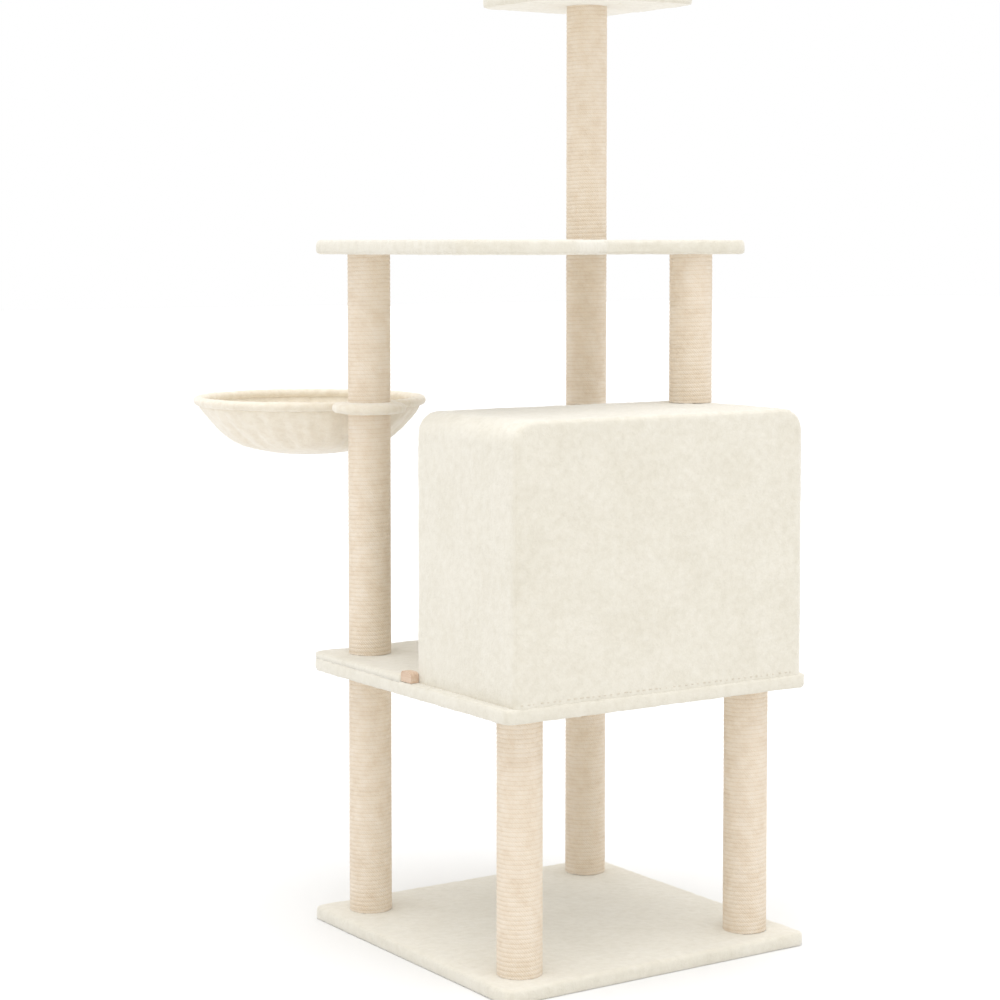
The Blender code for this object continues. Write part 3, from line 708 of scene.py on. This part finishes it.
def make_house_cover():
    """The house's plush in one skin: side walls and roof in one sweep, and the two faces."""
    low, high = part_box("house_wrap_plush")
    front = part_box("house_front_plush")[0].y
    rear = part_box("house_rear_plush")[1].y
    below = low.z - 2 * HOUSE_FACE_R
    outline = arch_outline(low.x, high.x, below, high.z)
    obj = rounded_slab("house_cover", outline, front, rear, HOUSE_FACE_R, HOUSE_FACE_R, standing)
    remesh(obj, PILE_CELL)
    foot = low.z - SEAM_SUNK
    open_house(obj, foot, rear)
    add_pile(obj, 6)
    for vertex in obj.data.vertices:
        vertex.co.z = max(vertex.co.z, foot)
    back_with_cloth(obj)
    finish_piece(obj, PLUSH, "plush", "tree", "house_wrap_plush", "house_front_plush", "house_rear_plush")


def tube_ring(name, centre, radius, tube, segments, sides, along_y):
    """A padded ring about Y or Z."""
    points = []
    faces = []
    for i in range(segments):
        turn = 2 * math.pi * i / segments
        for j in range(sides):
            angle = 2 * math.pi * j / sides
            reach = radius + tube * math.cos(angle)
            rise = tube * math.sin(angle)
            a = reach * math.cos(turn)
            b = reach * math.sin(turn)
            if along_y:
                points.append((centre.x + a, centre.y + rise, centre.z + b))
            else:
                points.append((centre.x + a, centre.y + b, centre.z + rise))
            here = i * sides
            there = ((i + 1) % segments) * sides
            k = (j + 1) % sides
            faces.append((here + j, here + k, there + k, there + j))
    return piece(name, points, faces)


def make_entrance_piping():
    """A padded edge, drawn a little into the entrance."""
    centre = entrance_centre() - Vector((0.0, PIPING_R * PIPING_SUNK, 0.0))
    radius = ENTRANCE_R - PIPING_R * PIPING_IN
    obj = tube_ring("entrance_piping", centre, radius, PIPING_R, PIPING_SEGMENTS, PIPING_SIDES, True)
    add_pile(obj, 7)
    finish_piece(obj, PLUSH, "plush", "tree")


def make_seam():
    """A row of stitches along the foot of the house's front face."""
    low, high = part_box("house_front_plush")
    bm = bmesh.new()
    start = low.x + HOUSE_FACE_R
    pitch = STITCH_L + STITCH_GAP
    for i in range(int((high.x - low.x - 2 * HOUSE_FACE_R) / pitch)):
        # no two stitches have quite the same length, place and height
        uneven = noise.noise(Vector((i * 0.7, 0.5, 0.0)))
        half = STITCH_L / 2 * (0.8 + 0.7 * uneven)
        x = start + (i + 0.5 + 0.4 * uneven) * pitch
        y = low.y - STITCH_R * 0.2
        z = low.z + STITCH_UP + 1.2 * STITCH_R * uneven
        made = bmesh.ops.create_uvsphere(bm, u_segments=8, v_segments=6, radius=1.0)
        for vertex in made["verts"]:
            round_x, round_y, round_z = vertex.co
            vertex.co = (x + round_x * half, y + round_y * STITCH_R, z + round_z * STITCH_R)
    mesh = bpy.data.meshes.new("house_stitches")
    bm.to_mesh(mesh)
    bm.free()
    obj = as_piece("house_stitches", mesh)
    finish_piece(obj, thread_material(), "plush", "tree")


# Basket

def basket_axes():
    """Centre of the rim, its radius, the padding's radius, and the hub's centre."""
    low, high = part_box("basket_rim_pad")
    centre = (low + high) / 2
    pad = (high.z - low.z) / 2
    radius = (high.x - low.x) / 2 - pad
    hub_low, hub_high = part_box("basket_hub")
    joint = Vector(frame["joints"][0]["pos_m"])
    hub = Vector((joint.x, joint.y, (hub_low.z + hub_high.z) / 2))
    return Vector((centre.x, centre.y, hub.z)), radius, pad, hub


def run_cloth(obj, cap, pressure, gravity, pinned, shrink=0.0):
    """Lets the cloth settle, and keeps each point within a cap of where it was."""
    rest = [vertex.co.copy() for vertex in obj.data.vertices]
    settings = obj.modifiers.new("cloth", "CLOTH").settings
    for key, value in CLOTH.items():
        setattr(settings, key, value)
    settings.shrink_min = shrink
    settings.effector_weights.gravity = gravity
    if pressure:
        settings.use_pressure = True
        settings.uniform_pressure_force = pressure
    if pinned:
        group = obj.vertex_groups.new(name="pinned")
        group.add(pinned, 1.0, "REPLACE")
        settings.vertex_group_mass = "pinned"
    scene = bpy.context.scene
    for number in range(1, SIM_FRAMES + 1):
        scene.frame_set(number)
    apply_modifiers(obj)
    for vertex, start in zip(obj.data.vertices, rest):
        move = vertex.co - start
        if move.length > cap:
            vertex.co = start + move * (cap / move.length)
    obj.data.update()
    scene.frame_set(1)


def make_rim(centre, radius, pad):
    """The padding round the rim: a stuffed tube, drawn in along the seam underneath."""
    tube = pad - RIM_CAP / 2
    obj = tube_ring("basket_rim", centre, radius + RIM_OUT, tube, RIM_SEGMENTS, RIM_SIDES, False)
    seam = [i for i in range(len(obj.data.vertices)) if i % RIM_SIDES == 3 * RIM_SIDES // 4]
    run_cloth(obj, RIM_CAP, PADDING_PRESSURE, 0.0, seam)
    subdivide(obj)
    add_pile(obj, 8)
    finish_piece(obj, BASKET_PLUSH, "basket_plush", "basket", "basket_rim_pad")


def make_hub(centre, radius, hub):
    """The padded disc round the post, cut away on the bowl's side of the rim."""
    low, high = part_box("basket_hub")
    hub_r = hub.y - low.y - HUB_CAP / 2
    half = (high.z - low.z) / 2 - HUB_CAP / 2
    outline = []
    for i in range(HUB_SIDES):
        angle = 2 * math.pi * i / HUB_SIDES
        outline.append((hub.x + hub_r * math.cos(angle), hub.y + hub_r * math.sin(angle)))
    edge_r = half * HUB_ROUNDING
    obj = rounded_slab("basket_collar", outline, hub.z - half, hub.z + half, edge_r, edge_r, lying)
    remesh(obj, HUB_CELL)
    run_cloth(obj, HUB_CAP, PADDING_PRESSURE, 0.0, [])
    for vertex in obj.data.vertices:
        from_x = vertex.co.x - centre.x
        from_y = vertex.co.y - centre.y
        reach = math.hypot(from_x, from_y)
        if reach < radius:
            vertex.co.x = centre.x + from_x / reach * radius
            vertex.co.y = centre.y + from_y / reach * radius
    subdivide(obj)
    add_pile(obj, 9)
    finish_piece(obj, BASKET_PLUSH, "basket_plush", "basket", "basket_hub")


def bowl_point(t, radius):
    """Reach and fall of the bowl's section, from the rim at t = 0 to the bottom at a quarter turn."""
    power = 2 / BOWL_FULLNESS
    return radius * max(math.cos(t), 0.0) ** power, -BOWL_DEPTH * math.sin(t) ** power


def bowl_mesh(centre, radius):
    """Rings of cloth with shallow pleats that die out downwards, closed by one point."""
    points = []
    faces = []
    for j in range(BOWL_RINGS):
        share = BOWL_START + (1 - BOWL_START) * j / BOWL_RINGS
        reach, fall = bowl_point(math.pi / 2 * share, radius)
        for i in range(BOWL_SEGMENTS):
            turn = 2 * math.pi * i / BOWL_SEGMENTS
            place = (math.cos(turn) * PLEATS_ROUND, math.sin(turn) * PLEATS_ROUND, PLEATS_DOWN * j)
            gather = noise.noise(Vector(place))
            pleat = PLEAT_DEPTH * gather * min(1.0, j / PLEAT_RINGS) * (1 - j / BOWL_RINGS)
            x = centre.x + (reach + pleat) * math.cos(turn)
            y = centre.y + (reach + pleat) * math.sin(turn)
            points.append((x, y, centre.z + fall))
    for j in range(BOWL_RINGS - 1):
        upper = j * BOWL_SEGMENTS
        lower = upper + BOWL_SEGMENTS
        for i in range(BOWL_SEGMENTS):
            k = (i + 1) % BOWL_SEGMENTS
            faces.append((upper + i, upper + k, lower + k, lower + i))
    points.append((centre.x, centre.y, centre.z - BOWL_DEPTH))
    last = (BOWL_RINGS - 1) * BOWL_SEGMENTS
    for i in range(BOWL_SEGMENTS):
        faces.append((last + i, last + (i + 1) % BOWL_SEGMENTS, len(points) - 1))
    return points, faces


def make_bowl(centre, radius):
    """The hanging cloth: cut a little large, gathered at the rim and let down to sag."""
    obj = piece("basket_cloth", *bowl_mesh(centre, radius))
    held = list(range(2 * BOWL_SEGMENTS))
    run_cloth(obj, BOWL_CAP, 0.0, 1.0, held, -BOWL_SPARE)
    skin = obj.modifiers.new("skin", "SOLIDIFY")
    skin.thickness = BOWL_T
    skin.offset = 0.0
    apply_modifiers(obj)
    subdivide(obj)
    add_pile(obj, 10)
    finish_piece(obj, BASKET_PLUSH, "basket_plush", "basket", "basket_bowl")


def make_basket():
    centre, radius, pad, hub = basket_axes()
    make_rim(centre, radius, pad)
    make_hub(centre, radius, hub)
    make_bowl(centre, radius)


# Studio

def make_floor():
    half = FLOOR_HALF
    floor = piece("floor", [(-half, -half, 0), (half, -half, 0), (half, half, 0), (-half, half, 0)],
                  [(0, 1, 2, 3)])
    floor.location.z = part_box("base_board")[0].z - FLOOR_GAP
    pale, _, shader = new_material("pale_floor", 0.9)
    shader.inputs["Base Color"].default_value = FLOOR_GREY
    shader.inputs["Specular IOR Level"].default_value = 0.1
    floor.data.materials.append(pale)


def make_light():
    """An even white sky and a very wide sun overhead."""
    world = bpy.data.worlds.new("studio")
    world.use_nodes = True
    background = world.node_tree.nodes["Background"]
    background.inputs["Color"].default_value = (*WHITE, 1.0)
    background.inputs["Strength"].default_value = 1.0
    bpy.context.scene.world = world
    bpy.context.scene.view_settings.view_transform = "Standard"
    light = bpy.data.lights.new("overhead", "SUN")
    light.energy = SUN_POWER
    light.angle = SUN_SPREAD
    obj = bpy.data.objects.new("overhead", light)
    obj.rotation_euler = Vector(SUN_COURSE).to_track_quat("-Z", "Y").to_euler()
    bpy.context.scene.collection.objects.link(obj)


def make_camera():
    data = bpy.data.cameras.new("camera")
    data.lens = CAMERA_LENS
    data.shift_y = CAMERA_SHIFT
    data.clip_end = 100.0
    camera = bpy.data.objects.new("camera", data)
    camera.location = CAMERA_PLACE
    camera.rotation_euler = (math.pi / 2 - CAMERA_DOWN, 0.0, -CAMERA_YAW)
    bpy.context.scene.collection.objects.link(camera)
    bpy.context.scene.camera = camera


make_camera()
make_floor()
make_light()
dress_cad_nodes()
make_covers()
make_posts()
make_house_cover()
make_entrance_piping()
make_seam()
make_basket()
